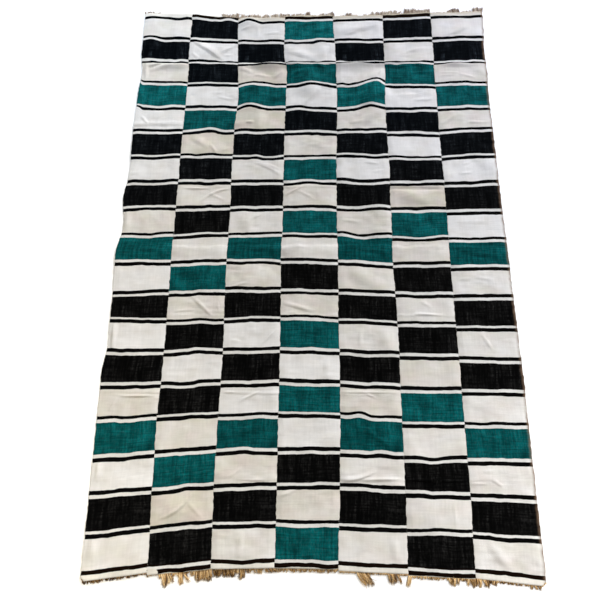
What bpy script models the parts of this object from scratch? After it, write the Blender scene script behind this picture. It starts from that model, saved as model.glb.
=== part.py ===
"""Handwoven cotton blanket: seven narrow woven strips sewn side by side, with frayed warp ends.

The blanket lies flat on Z = 0, face up. X runs across the strips and Y runs along their warp,
towards the head end. Places along the warp are given as "down": the distance from a datum line
at the head end, towards the foot end. All sizes are in metres.
"""

import math
import random
from collections import namedtuple

import bmesh
import bpy

# Driving sizes of the cloth
HEAD_DATUM_Y = 1.070
STRIP_COUNT = 7
ROW_COUNT = 19
ROW_PITCH = 0.1076
FIRST_ROW_DOWN = 0.034
LAST_ROW_DOWN = FIRST_ROW_DOWN + ROW_COUNT * ROW_PITCH
CLOTH_THICKNESS = 0.002
TOUCH_GAP = 0.0003

# Woven band past the outermost rows, on strips that end in a white row and on those that don't
WHITE_END_BAND = 0.016
DARK_END_BAND = 0.011

# Seams and selvedges from left to right: where each lies across the blanket at the head and foot
Seam = namedtuple("Seam", "head_x foot_x")
SEAMS = (
    Seam(head_x=-0.690, foot_x=-0.707),
    Seam(head_x=-0.500, foot_x=-0.507),
    Seam(head_x=-0.303, foot_x=-0.309),
    Seam(head_x=-0.108, foot_x=-0.113),
    Seam(head_x=0.090, foot_x=0.088),
    Seam(head_x=0.288, foot_x=0.295),
    Seam(head_x=0.487, foot_x=0.499),
    Seam(head_x=0.691, foot_x=0.703),
)

# How far each of them swings to the right of that straight line, in millimetres
MM = 0.001
Swing = namedtuple("Swing", "down shifts")
SWINGS = (
    Swing(down=0.06, shifts=(-3, 1, -3, -5, -5, 2, 0, 3)),
    Swing(down=0.20, shifts=(-4, 0, 1, -6, 3, 1, 0, -2)),
    Swing(down=0.30, shifts=(5, 4, 7, 7, 5, 1, -3, 0)),
    Swing(down=0.41, shifts=(2, 3, 13, 6, 8, -4, -2, -4)),
    Swing(down=0.56, shifts=(4, 1, 4, 2, 6, -4, -3, -4)),
    Swing(down=0.75, shifts=(4, 1, 1, 3, 2, 1, -1, -3)),
    Swing(down=0.85, shifts=(-4, -1, 3, 3, 2, -2, 0, -2)),
    Swing(down=0.96, shifts=(3, -1, 3, 3, 1, -2, 0, -1)),
    Swing(down=1.07, shifts=(-8, -3, 0, -1, 4, -4, -2, 1)),
    Swing(down=1.29, shifts=(-4, 0, 2, 2, 3, 1, -1, 0)),
    Swing(down=1.40, shifts=(2, 1, 4, 3, 5, 4, 1, 2)),
    Swing(down=1.50, shifts=(-5, -1, 3, 3, 6, 3, 1, 3)),
    Swing(down=1.65, shifts=(-4, -5, -1, 2, 5, 2, 1, 1)),
    Swing(down=1.85, shifts=(-1, -1, -2, 2, 2, 2, 2, 2)),
    Swing(down=2.05, shifts=(2, 5, 1, 1, -5, -1, -2, 2)),
)

# How far the ends of each strip are drawn down at its left and right selvedge, in millimetres
EndDrift = namedtuple("EndDrift", "head_left head_right foot_left foot_right")
END_DRIFTS = (
    EndDrift(head_left=-10, head_right=-8, foot_left=41, foot_right=15),
    EndDrift(head_left=-9, head_right=13, foot_left=22, foot_right=3),
    EndDrift(head_left=20, head_right=14, foot_left=-1, foot_right=-6),
    EndDrift(head_left=7, head_right=5, foot_left=-1, foot_right=0),
    EndDrift(head_left=7, head_right=8, foot_left=0, foot_right=7),
    EndDrift(head_left=1, head_right=-7, foot_left=14, foot_right=21),
    EndDrift(head_left=-5, head_right=-12, foot_left=16, foot_right=38),
)

# Storage creases: low ridges across the folded blanket, each with its own reach on the sides
# towards the head ("back") and the foot ("lee")
Crease = namedtuple("Crease", "down left_x right_x rise back lee")
CREASES = (
    Crease(down=0.258, left_x=-0.95, right_x=0.95, rise=0.0070, back=0.011, lee=0.026),
    Crease(down=0.536, left_x=-0.90, right_x=-0.20, rise=0.0035, back=0.014, lee=0.009),
    Crease(down=0.806, left_x=-0.55, right_x=0.55, rise=0.0018, back=0.012, lee=0.009),
    Crease(down=1.050, left_x=-0.95, right_x=0.85, rise=0.0036, back=0.009, lee=0.012),
    Crease(down=1.300, left_x=-0.80, right_x=0.80, rise=0.0014, back=0.010, lee=0.008),
    Crease(down=1.565, left_x=-0.85, right_x=0.45, rise=0.0014, back=0.010, lee=0.008),
    Crease(down=1.834, left_x=-0.45, right_x=0.75, rise=0.0014, back=0.014, lee=0.007),
)

# Slack places where a strip is longer than its seams and stands up in a soft hump
Hump = namedtuple("Hump", "x down reach_x reach_down rise")
HUMPS = (
    Hump(x=-0.258, down=0.050, reach_x=0.060, reach_down=0.060, rise=0.006),
    Hump(x=-0.405, down=0.195, reach_x=0.080, reach_down=0.055, rise=0.005),
    Hump(x=-0.010, down=0.356, reach_x=0.090, reach_down=0.080, rise=0.007),
    Hump(x=-0.230, down=0.400, reach_x=0.080, reach_down=0.120, rise=0.009),
    Hump(x=0.245, down=0.400, reach_x=0.080, reach_down=0.120, rise=0.014),
    Hump(x=-0.400, down=0.640, reach_x=0.085, reach_down=0.060, rise=0.005),
    Hump(x=0.245, down=0.900, reach_x=0.070, reach_down=0.140, rise=0.005),
    Hump(x=0.380, down=0.850, reach_x=0.080, reach_down=0.050, rise=0.005),
    Hump(x=-0.225, down=1.180, reach_x=0.070, reach_down=0.070, rise=0.003),
    Hump(x=0.240, down=1.400, reach_x=0.060, reach_down=0.080, rise=0.003),
    Hump(x=-0.405, down=1.930, reach_x=0.080, reach_down=0.070, rise=0.004),
    Hump(x=0.600, down=2.050, reach_x=0.060, reach_down=0.060, rise=0.003),
)

# Mesh steps of a strip: across its width, and along its warp in parts of a woven row
STEPS_ACROSS = 6
STEPS_PER_ROW = 3
LEAST_STEP = 0.010

# Fringe: a narrow backing along each woven end, with the cut warp standing out of it in locks
LOCKS_PER_END = 20
BACKING_DEPTH = 0.005
LOCK_ROOT_WIDTH = 0.0046
LOCK_TIP_WIDTH = 0.0016
LOCK_TIP_THICKNESS = 0.0012
LOCK_LEAN = 0.0022
SHORTEST_LOCK = 0.003
LOCK_UNEVENNESS = 0.18

# Usual length of the fringe on each strip, from the first strip to the last
HEAD_FRINGE_LENGTHS = (0.004, 0.003, 0.019, 0.019, 0.010, 0.016, 0.010)
FOOT_FRINGE_LENGTHS = (0.005, 0.010, 0.018, 0.013, 0.007, 0.010, 0.006)

# Stretches of each end where the fringe hangs longer
Tuft = namedtuple("Tuft", "left_x right_x length")
HEAD_TUFTS = (
    Tuft(left_x=-0.694, right_x=-0.640, length=0.015),
    Tuft(left_x=-0.365, right_x=-0.300, length=0.021),
    Tuft(left_x=0.128, right_x=0.172, length=0.009),
    Tuft(left_x=0.238, right_x=0.290, length=0.013),
    Tuft(left_x=0.380, right_x=0.484, length=0.019),
    Tuft(left_x=0.552, right_x=0.612, length=0.019),
    Tuft(left_x=0.640, right_x=0.692, length=0.018),
)
FOOT_TUFTS = (
    Tuft(left_x=-0.460, right_x=-0.434, length=0.036),
    Tuft(left_x=-0.406, right_x=-0.388, length=0.038),
    Tuft(left_x=-0.345, right_x=-0.311, length=0.029),
    Tuft(left_x=-0.214, right_x=-0.197, length=0.030),
    Tuft(left_x=0.133, right_x=0.190, length=0.037),
    Tuft(left_x=0.247, right_x=0.275, length=0.030),
    Tuft(left_x=0.294, right_x=0.309, length=0.031),
    Tuft(left_x=0.414, right_x=0.443, length=0.024),
    Tuft(left_x=0.472, right_x=0.536, length=0.023),
    Tuft(left_x=0.664, right_x=0.692, length=0.016),
)

# Colours of the cotton, as linear red, green and blue
OFF_WHITE = (0.70, 0.67, 0.60)
RAW_WARP = (0.48, 0.36, 0.22)
COTTON_ROUGHNESS = 0.92


def clear_scene():
    """Remove every object that is already in the scene."""
    for item in list(bpy.data.objects):
        bpy.data.objects.remove(item, do_unlink=True)


def blend(first, last, share):
    """The value that lies this share of the way from first to last."""
    return first + (last - first) * share


def bump(distance):
    """A soft profile: 1 at the crest, 0 at a distance of 1 and beyond."""
    return 0.5 + 0.5 * math.cos(math.pi * min(abs(distance), 1.0))


def eased_swing(seam, down):
    """How far a seam swings aside at a place along the warp, with no kinks between the charted places."""
    if down <= SWINGS[0].down:
        return SWINGS[0].shifts[seam] * MM
    for before, after in zip(SWINGS, SWINGS[1:]):
        if down <= after.down:
            share = (down - before.down) / (after.down - before.down)
            share = share * share * (3.0 - 2.0 * share)
            return blend(before.shifts[seam], after.shifts[seam], share) * MM
    return SWINGS[-1].shifts[seam] * MM


def seam_x(seam, down):
    """Where a seam lies across the blanket, at a place along the warp."""
    line = SEAMS[seam]
    return blend(line.head_x, line.foot_x, down / LAST_ROW_DOWN) + eased_swing(seam, down)


def end_band(strip):
    """Length of the woven band past the outermost rows: the even strips end in a dark or green row."""
    return DARK_END_BAND if strip % 2 == 0 else WHITE_END_BAND


def end_down(strip, end, share):
    """Place of a strip's woven end, at a share of the way across the strip."""
    drift = END_DRIFTS[strip - 1]
    if end == "head":
        return FIRST_ROW_DOWN + blend(drift.head_left, drift.head_right, share) * MM - end_band(strip)
    return LAST_ROW_DOWN + blend(drift.foot_left, drift.foot_right, share) * MM + end_band(strip)


def crease_rise(crease, x, down):
    """Height that one storage crease adds: highest at its middle, fading to its ends."""
    share = (x - crease.left_x) / (crease.right_x - crease.left_x)
    if not 0.0 < share < 1.0:
        return 0.0
    reach = crease.back if down < crease.down else crease.lee
    return crease.rise * math.sin(math.pi * share) * bump((down - crease.down) / reach)


def hump_rise(hump, x, down):
    """Height that one slack place adds."""
    distance = math.hypot((x - hump.x) / hump.reach_x, (down - hump.down) / hump.reach_down)
    return hump.rise * bump(distance)


def cloth_height(x, down):
    """Height of the underside of the cloth above the surface it lies on."""
    rises = [crease_rise(crease, x, down) for crease in CREASES]
    rises += [hump_rise(hump, x, down) for hump in HUMPS]
    return math.hypot(*rises)


def inner_stations():
    """Places along the warp between a strip's two ends: part rows, and both sides of each crease."""
    stations = []
    for crease in CREASES:
        stations += [crease.down - crease.back, crease.down, crease.down + crease.lee]
    step = ROW_PITCH / STEPS_PER_ROW
    for count in range(1, ROW_COUNT * STEPS_PER_ROW):
        down = FIRST_ROW_DOWN + count * step
        if all(abs(down - other) > LEAST_STEP for other in stations):
            stations.append(down)
    return sorted(stations)


def solidify_upwards(bm):
    """Turn the sheet of faces into a closed solid by raising a copy of it by the cloth's thickness."""
    raised = bmesh.ops.extrude_face_region(bm, geom=bm.faces[:])["geom"]
    raised_verts = [item for item in raised if isinstance(item, bmesh.types.BMVert)]
    bmesh.ops.translate(bm, verts=raised_verts, vec=(0.0, 0.0, CLOTH_THICKNESS))
    bmesh.ops.recalc_face_normals(bm, faces=bm.faces)


def strip_mesh(strip):
    """One woven strip: a sheet with its curved ends, its creases and its slack places."""
    stations = inner_stations()
    rows = len(stations) + 1
    bm = bmesh.new()
    bmesh.ops.create_grid(bm, x_segments=STEPS_ACROSS, y_segments=rows, size=0.5)
    for vert in bm.verts:
        share = vert.co.x + 0.5
        row = round((vert.co.y + 0.5) * rows)
        if row == 0:
            down = end_down(strip, "foot", share)
        elif row == rows:
            down = end_down(strip, "head", share)
        else:
            down = stations[-row]
        left = seam_x(strip - 1, down)
        right = seam_x(strip, down)
        height = cloth_height(blend(left, right, share), down)
        x = blend(left + TOUCH_GAP / 2, right - TOUCH_GAP / 2, share)
        vert.co = (x, HEAD_DATUM_Y - down, height)
    solidify_upwards(bm)
    mesh = bpy.data.meshes.new(f"strip_{strip}")
    bm.to_mesh(mesh)
    bm.free()
    return mesh


def lock_borders():
    """Shares of a strip's width at which the bare stretches and the locks of its fringe begin."""
    width = SEAMS[1].head_x - SEAMS[0].head_x
    lock = LOCK_ROOT_WIDTH / width
    bare = (1.0 - LOCKS_PER_END * lock) / (LOCKS_PER_END + 1)
    borders = [0.0]
    for _ in range(LOCKS_PER_END):
        borders += [borders[-1] + bare, borders[-1] + bare + lock]
    return borders + [1.0]


def lock_length(strip, end, x):
    """Length of the fringe at a place across the blanket."""
    usual = HEAD_FRINGE_LENGTHS if end == "head" else FOOT_FRINGE_LENGTHS
    tufts = HEAD_TUFTS if end == "head" else FOOT_TUFTS
    inside = [tuft.length for tuft in tufts if tuft.left_x < x < tuft.right_x]
    return max(inside, default=usual[strip - 1])


def draw_out_lock(face, strip, end, rng):
    """Move the outer end of one lock to its tip, narrowed and thinned, still level on the surface."""
    centre_x = face.calc_center_median().x
    length = lock_length(strip, end, centre_x) * rng.uniform(1.0 - LOCK_UNEVENNESS, 1.0 + LOCK_UNEVENNESS)
    length = max(length, SHORTEST_LOCK)
    lean = rng.uniform(-LOCK_LEAN, LOCK_LEAN)
    outward = length if end == "head" else -length
    for vert in face.verts:
        side = LOCK_TIP_WIDTH / LOCK_ROOT_WIDTH * (vert.co.x - centre_x)
        lift = LOCK_TIP_THICKNESS / CLOTH_THICKNESS * vert.co.z
        vert.co = (centre_x + side + lean, vert.co.y + outward, lift)


def fringe_mesh(strip, end):
    """The frayed warp of one strip's end: a narrow backing with tapered locks, all one solid."""
    borders = lock_borders()
    columns = len(borders) - 1
    outward = -1.0 if end == "head" else 1.0
    bm = bmesh.new()
    bmesh.ops.create_grid(bm, x_segments=columns, y_segments=1, size=0.5)
    outer_edges = {}
    for edge in bm.edges:
        first, second = edge.verts
        if first.co.y > 0.0 and second.co.y > 0.0:
            middle = (first.co.x + second.co.x) / 2 + 0.5
            outer_edges[int(middle * columns)] = edge
    for vert in bm.verts:
        share = borders[round((vert.co.x + 0.5) * columns)]
        depth = TOUCH_GAP + (BACKING_DEPTH if vert.co.y > 0.0 else 0.0)
        down = end_down(strip, end, share) + outward * depth
        left = seam_x(strip - 1, down) + TOUCH_GAP / 2
        right = seam_x(strip, down) - TOUCH_GAP / 2
        vert.co = (blend(left, right, share), HEAD_DATUM_Y - down, 0.0)
    solidify_upwards(bm)
    roots = []
    for column in range(1, columns, 2):
        roots += [face for face in outer_edges[column].link_faces if abs(face.normal.z) < 0.5]
    tips = bmesh.ops.extrude_discrete_faces(bm, faces=roots)["faces"]
    rng = random.Random(f"{end} {strip}")
    for face in sorted(tips, key=lambda tip: tip.calc_center_median().x):
        draw_out_lock(face, strip, end, rng)
    bmesh.ops.recalc_face_normals(bm, faces=bm.faces)
    mesh = bpy.data.meshes.new(f"fringe_{end}_{strip}")
    bm.to_mesh(mesh)
    bm.free()
    return mesh


def cotton_material(name, colour):
    """A plain matt cotton."""
    material = bpy.data.materials.new(name)
    material.use_nodes = True
    shader = material.node_tree.nodes["Principled BSDF"]
    shader.inputs["Base Color"].default_value = (*colour, 1.0)
    shader.inputs["Roughness"].default_value = COTTON_ROUGHNESS
    shader.inputs["Metallic"].default_value = 0.0
    return material


def add_part(mesh, colour, parent, collection):
    """Make an object of a mesh, under the blanket's empty."""
    mesh.materials.append(cotton_material(f"{mesh.name}_cotton", colour))
    part = bpy.data.objects.new(mesh.name, mesh)
    part.parent = parent
    collection.objects.link(part)


def build_blanket():
    """The seven strips, and the fringe at both ends of each."""
    collection = bpy.data.collections.new("cotton_blanket")
    bpy.context.scene.collection.children.link(collection)
    blanket = bpy.data.objects.new("cotton_blanket", None)
    collection.objects.link(blanket)
    for strip in range(1, STRIP_COUNT + 1):
        add_part(strip_mesh(strip), OFF_WHITE, blanket, collection)
        for end in ("head", "foot"):
            add_part(fringe_mesh(strip, end), RAW_WARP, blanket, collection)


clear_scene()
build_blanket()
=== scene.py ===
"""Looks of the handwoven cotton blanket: woven strips, frayed ends and sewn seams, on a lit floor.

X runs across the strips and Y along their warp, towards the head end. "down" is a distance from the
datum line at the head end towards the foot end. All sizes are in metres unless a name says otherwise.
"""

import math
import random
from collections import namedtuple

import bpy
import numpy as np
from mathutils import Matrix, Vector


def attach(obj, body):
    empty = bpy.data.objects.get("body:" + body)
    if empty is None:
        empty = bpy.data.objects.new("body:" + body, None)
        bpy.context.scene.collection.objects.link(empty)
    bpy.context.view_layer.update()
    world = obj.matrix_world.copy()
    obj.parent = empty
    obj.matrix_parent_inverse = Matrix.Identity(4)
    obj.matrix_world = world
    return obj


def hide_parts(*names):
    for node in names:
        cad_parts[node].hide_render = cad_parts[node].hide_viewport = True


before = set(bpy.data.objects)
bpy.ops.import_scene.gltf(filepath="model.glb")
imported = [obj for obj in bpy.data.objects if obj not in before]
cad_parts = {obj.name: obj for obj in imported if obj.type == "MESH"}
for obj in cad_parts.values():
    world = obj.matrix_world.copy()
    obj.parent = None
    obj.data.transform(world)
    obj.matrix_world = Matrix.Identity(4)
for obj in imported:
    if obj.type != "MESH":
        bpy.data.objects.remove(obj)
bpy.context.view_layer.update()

MM = 0.001


def in_metres(kind, *rows):
    """Rows of a table given in millimetres, as named values in metres."""
    return tuple(kind(*(number * MM for number in row)) for row in rows)


# Sizes of the cloth, as in the solids
HEAD_DATUM_Y = 1.070
STRIP_COUNT = 7
ROW_COUNT = 19
ROW_PITCH = 0.1076
FIRST_ROW_DOWN = 0.034
WOVEN_ROWS = ROW_COUNT * ROW_PITCH
LAST_ROW_DOWN = FIRST_ROW_DOWN + WOVEN_ROWS
CLOTH_THICKNESS = 0.002
DARK_END_BAND = 0.0142
BLACK_LINE = 0.0119
WHITE_LINE = 0.0098
BARE_EDGE = 0.0020
CORNER_TUCK = 0.010
CORNER_REACH = 0.075

# Yarn of each woven row, from the head end: B black, G green, L light green, H brightest green,
# D dull green, w bleached, p pale, c cream, e ecru
CHARTS = {
    1: "pBcLwBwBcGwBwBcGwBp",
    2: "BwBwGeBcBpGcBwBcGeB",
    3: "wBeGeBpBpDcBwBwDcBp",
    4: "HwGwBcGcGpBcGwGwBcG",
    5: "wBpLcBwBcDcBpBcDpBp",
    6: "BpGwBwBeGcBpBcGpBpB",
    7: "pBcGcBwBwDpBpBpGpBp",
}
REPEAT = 6
ECRU_SHARE = {"w": 0.05, "p": 0.32, "c": 0.55, "e": 0.85}
GREEN_SHARE = {"G": 0.0, "L": 1.0, "H": 2.0, "D": -0.6}

# Length of the woven band past the outermost row, from the first strip to the last
END_BANDS = {
    "head": (0.0160, 0.0150, 0.0160, 0.0165, 0.0160, 0.0190, 0.0160),
    "foot": (0.0160, 0.0142, 0.0160, 0.0142, 0.0160, 0.0142, 0.0160),
}

# How tan the undyed cloth is past the last line at each end, from the first strip to the last
HEAD_END_TAN = (0.1, 0.6, 0.7, 1.0, 0.95, 1.0, 0.85)
FOOT_END_TAN = (0.45, 0.6, 0.3, 0.7, 0.35, 0.6, 0.25)

# A soft oval place on the cloth. The bare spot is where the dark line is frayed away down to the warp.
Oval = namedtuple("Oval", "x down reach_x reach_down size")
BARE_SPOT = Oval(-0.486, 2.108, 0.032, 0.018, 1.0)

# Where each selvedge and seam lies across the blanket, at the head and at the foot, in millimetres
Seam = namedtuple("Seam", "head_x foot_x")
SEAMS = in_metres(
    Seam,
    (-690, -707),
    (-500, -507),
    (-303, -309),
    (-108, -113),
    (90, 88),
    (288, 295),
    (487, 499),
    (691, 703),
)

# How far the seams and selvedges swing to the right of those straight lines, in millimetres
Swing = namedtuple("Swing", "down shifts")
SWINGS = (
    Swing(0.06, (-6, 1, -3, -5, -5, 2, 0, 10)),
    Swing(0.20, (-3, 0, 1, -6, 3, 1, 0, 1)),
    Swing(0.30, (9, 4, 7, 7, 5, 1, -3, 3)),
    Swing(0.41, (2, 3, 13, 6, 8, -4, -2, -2)),
    Swing(0.56, (0, 1, 4, 2, 6, -4, -3, -1)),
    Swing(0.75, (6, 1, 1, 3, 2, 1, -1, -1)),
    Swing(0.85, (-8, -1, 3, 3, 2, -2, 0, 0)),
    Swing(0.96, (6, -1, 3, 3, 1, -2, 0, 1)),
    Swing(1.07, (-10, -3, 0, -1, 4, -4, -2, 3)),
    Swing(1.29, (-2, 0, 2, 2, 3, 1, -1, 3)),
    Swing(1.40, (1, 1, 4, 3, 5, 4, 1, 5)),
    Swing(1.50, (-9, -1, 3, 3, 6, 3, 1, 7)),
    Swing(1.65, (-6, -5, -1, 2, 5, 2, 1, 5)),
    Swing(1.85, (-2, -1, -2, 2, 2, 2, 2, 4)),
    Swing(2.05, (2, 5, 1, 1, -5, -1, -2, 4)),
)

# The sewing leaves each seam a little crooked
SEAM_JITTER = 0.0013
SEAM_JITTER_PITCH = 0.011

# How far the edges of the woven rows have drifted down, in millimetres, at the left and the right
# selvedge of each strip. Row 0 starts at the head and row 19 is the last row's lower edge.
Drift = namedtuple("Drift", "row strip_1 strip_2 strip_3 strip_4 strip_5 strip_6 strip_7")
DRIFTS = (
    Drift(0, (-10, -8), (-9, 13), (20, 14), (7, 5), (10, 4), (3, -6), (-7, -14)),
    Drift(1, (-10, 1), (-1, 7), (11, 13), (10, 5), (12, 7), (5, -1), (3, -4)),
    Drift(2, (-12, -4), (-2, 4), (10, 12), (8, 6), (3, 2), (9, 4), (4, -1)),
    Drift(3, (-7, -6), (-4, 0), (8, 4), (5, 8), (6, -4), (7, 10), (0, -2)),
    Drift(4, (-5, -4), (0, 4), (1, 1), (6, 10), (7, -2), (12, 8), (5, 0)),
    Drift(5, (-3, -4), (0, -2), (0, -5), (3, 6), (-2, -6), (8, 12), (0, -11)),
    Drift(7, (3, -2), (-1, -3), (2, 2), (4, 0), (-6, -4), (4, 1), (12, 2)),
    Drift(9, (-1, -6), (4, -6), (0, -6), (-4, -1), (-7, -2), (9, 4), (15, 14)),
    Drift(10, (-4, -5), (2, -6), (-9, -4), (-10, -6), (-6, 6), (4, 0), (14, 10)),
    Drift(11, (8, -1), (4, -1), (-10, -12), (-6, -2), (-4, 3), (3, 4), (16, 13)),
    Drift(12, (-11, -8), (0, -4), (-8, -14), (-18, -12), (-8, 0), (4, 3), (16, 16)),
    Drift(13, (-4, -4), (0, -8), (-8, -14), (-13, -8), (-6, 0), (5, 6), (16, 20)),
    Drift(15, (8, -4), (0, -14), (-4, -10), (-16, -12), (-14, -2), (14, 14), (15, 16)),
    Drift(16, (22, 5), (6, -10), (-2, -5), (-6, -8), (-2, 4), (16, 14), (20, 21)),
    Drift(17, (25, 8), (10, -9), (0, -8), (-8, -10), (-6, 1), (10, 14), (19, 25)),
    Drift(18, (33, 11), (18, -4), (0, -4), (-8, -6), (0, 4), (16, 16), (20, 31)),
    Drift(19, (41, 15), (24, 4), (2, -3), (-1, 0), (3, 10), (15, 22), (19, 38)),
)

# Places where slack cloth has pulled the rows down by their size, in millimetres
PULLS = in_metres(
    Oval,
    (-400, 357, 90, 40, -4),
    (-360, 464, 60, 40, -4),
    (245, 680, 60, 45, 6),
    (385, 680, 80, 45, 5),
    (-600, 1002, 70, 40, 5),
    (-390, 1002, 60, 40, -4),
    (420, 1110, 60, 45, 4),
    (600, 1110, 90, 45, -3),
    (-610, 1325, 90, 45, -4),
    (30, 1648, 90, 45, -4),
    (225, 1756, 50, 40, -5),
    (150, 1863, 450, 45, -3),
    (0, 850, 1200, 750, -2),
    (600, 500, 150, 450, -3),
    (-600, 600, 85, 550, 4),
    (-590, 142, 85, 45, 3),
    (-600, 895, 120, 45, -6),
    (-405, 500, 90, 140, -3),
    (-400, 1250, 90, 200, -2),
    (-430, 1540, 70, 50, 6),
    (-395, 1910, 85, 100, -4),
    (-440, 2080, 50, 30, 4),
    (-178, 357, 50, 40, -5),
    (-175, 680, 95, 50, 9),
    (-180, 1110, 90, 50, -6),
    (-200, 1750, 100, 200, -3),
    (-200, 2080, 100, 35, 5),
    (-20, 40, 80, 60, 7),
    (-10, 572, 90, 45, -4),
    (-10, 1260, 90, 100, -4),
    (-10, 1540, 130, 45, 5),
    (10, 1860, 80, 50, -3),
    (145, 357, 30, 30, 6),
    (284, 357, 30, 30, 7),
    (150, 895, 120, 45, 7),
    (200, 1320, 80, 50, -4),
    (180, 1540, 80, 45, 4),
    (190, 2080, 120, 35, 4),
    (405, 572, 100, 45, -6),
    (390, 2080, 80, 35, 3),
    (-655, 32, 45, 50, -2),
    (-560, 32, 50, 50, 5),
    (-660, 142, 45, 45, -6),
    (-55, 148, 45, 45, 6),
    (30, 148, 40, 40, -4),
    (-345, 30, 50, 60, -9),
    (-258, 45, 60, 80, -10),
    (-695, 345, 30, 30, -16),
    (-695, 465, 35, 35, -20),
    (-235, 350, 85, 80, -9),
    (-250, 462, 60, 60, -12),
    (0, 356, 90, 80, -8),
    (245, 345, 80, 80, -16),
    (215, 460, 80, 70, -10),
    (-50, 465, 70, 50, -6),
    (-400, 570, 80, 80, -6),
    (-210, 680, 40, 50, -6),
    (200, 790, 90, 60, 9),
    (-15, 790, 60, 50, -6),
    (190, 1000, 90, 70, 10),
    (390, 1000, 90, 60, 6),
    (385, 1215, 90, 50, 4),
    (-400, 1430, 90, 60, -5),
    (195, 1435, 80, 60, 5),
    (155, 1630, 45, 40, -5),
    (205, 1630, 40, 40, 4),
    (395, 1757, 90, 60, 6),
    (-600, 1500, 100, 450, 3),
    (590, 2000, 90, 100, 3),
)

# Storage creases, in millimetres: low ridges across the folded blanket, steeper towards the head end.
# "gather" is the cloth taken up by the ridge.
Crease = namedtuple("Crease", "down left_x right_x rise back lee gather")
CREASES = in_metres(
    Crease,
    (258, -950, 950, 7, 11, 26, 3.4),
    (536, -900, -200, 3.2, 18, 14, 0),
    (806, -550, 550, 1.8, 12, 9, 1),
    (1048, -950, 850, 3.8, 15, 45, 0),
    (1300, -800, 800, 1.4, 10, 8, 0),
    (1565, -850, 450, 1.4, 10, 8, 0),
    (1834, -450, 750, 1.4, 14, 7, 0),
)

# How the creases wander, how uneven their rise and gathers are, and over what lengths
CREASE_WANDER = 0.003
CREASE_WANDER_PITCH = 0.11
CREASE_JITTER = 0.0020
CREASE_JITTER_PITCH = 0.016
CREASE_FULLNESS = 0.75
CREASE_UNEVENNESS = 0.4
CREASE_UNEVEN_PITCH = 0.07
GATHER_REACH = 0.012
GATHER_UNEVENNESS = 0.8
GATHER_UNEVEN_PITCH = 0.028

# Slack places where a strip stands up in a soft hump as high as its size, in millimetres
HUMPS = in_metres(
    Oval,
    (-258, 50, 60, 60, 6),
    (-405, 195, 80, 55, 5),
    (-10, 356, 90, 80, 7),
    (-230, 400, 80, 120, 9),
    (245, 400, 80, 120, 14),
    (-400, 640, 85, 60, 5),
    (245, 900, 70, 140, 5),
    (380, 850, 80, 50, 5),
    (-225, 1180, 70, 70, 3),
    (240, 1400, 60, 80, 3),
    (-405, 1930, 80, 70, 4),
    (600, 2050, 60, 60, 3),
)

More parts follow.
